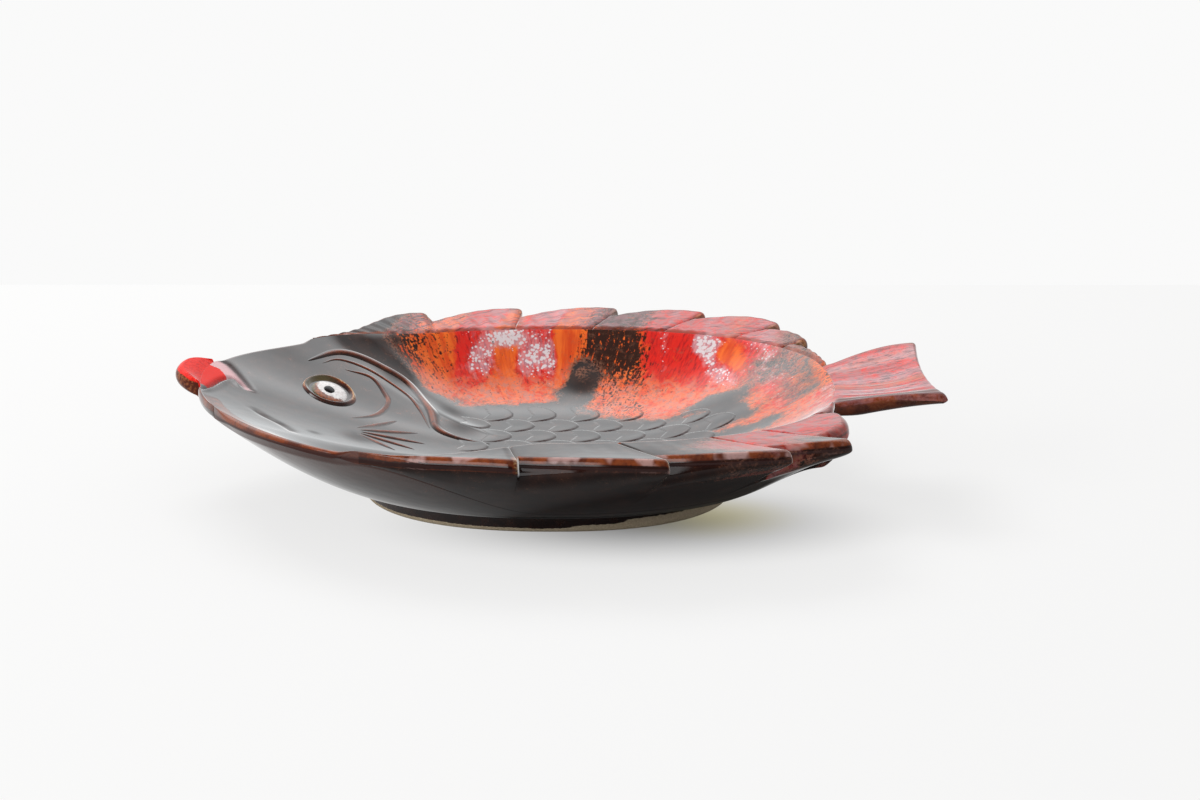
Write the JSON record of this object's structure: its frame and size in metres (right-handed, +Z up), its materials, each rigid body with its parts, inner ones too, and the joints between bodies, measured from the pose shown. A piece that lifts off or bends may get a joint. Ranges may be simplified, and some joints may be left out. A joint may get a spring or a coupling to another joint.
{
  "type": "fish shaped platter",
  "caption": "Deep glazed earthenware serving platter in the shape of a fish, with lobed fins, a fan tail, relief scales and an oval foot ring.",
  "frame": {"origin": "centre of the platter's outline, on the table", "axes": "+X to the tail, +Y to the back fin, +Z up out of the dish"},
  "size_m": [0.3152, 0.2258, 0.0525],
  "materials": {
    "dark_glaze": "gloss",
    "reactive_glaze": "gloss",
    "red_glaze": "gloss",
    "white_glaze": "gloss",
    "bare_clay": "matte"
  },
  "bodies": {
    "root": {"dish_body": "dark_glaze", "foot_ring": "bare_clay", "back_fin": "reactive_glaze", "belly_fin": "reactive_glaze", "tail_fin": "reactive_glaze", "upper_lip": "red_glaze", "lower_lip": "dark_glaze", "eye_ring": "dark_glaze", "eye_white": "white_glaze", "pupil": "dark_glaze", "gill_cover": "dark_glaze", "cheek_ridge": "dark_glaze", "pectoral_fin": "dark_glaze", "scales": "dark_glaze"}
  },
  "joints": []
}
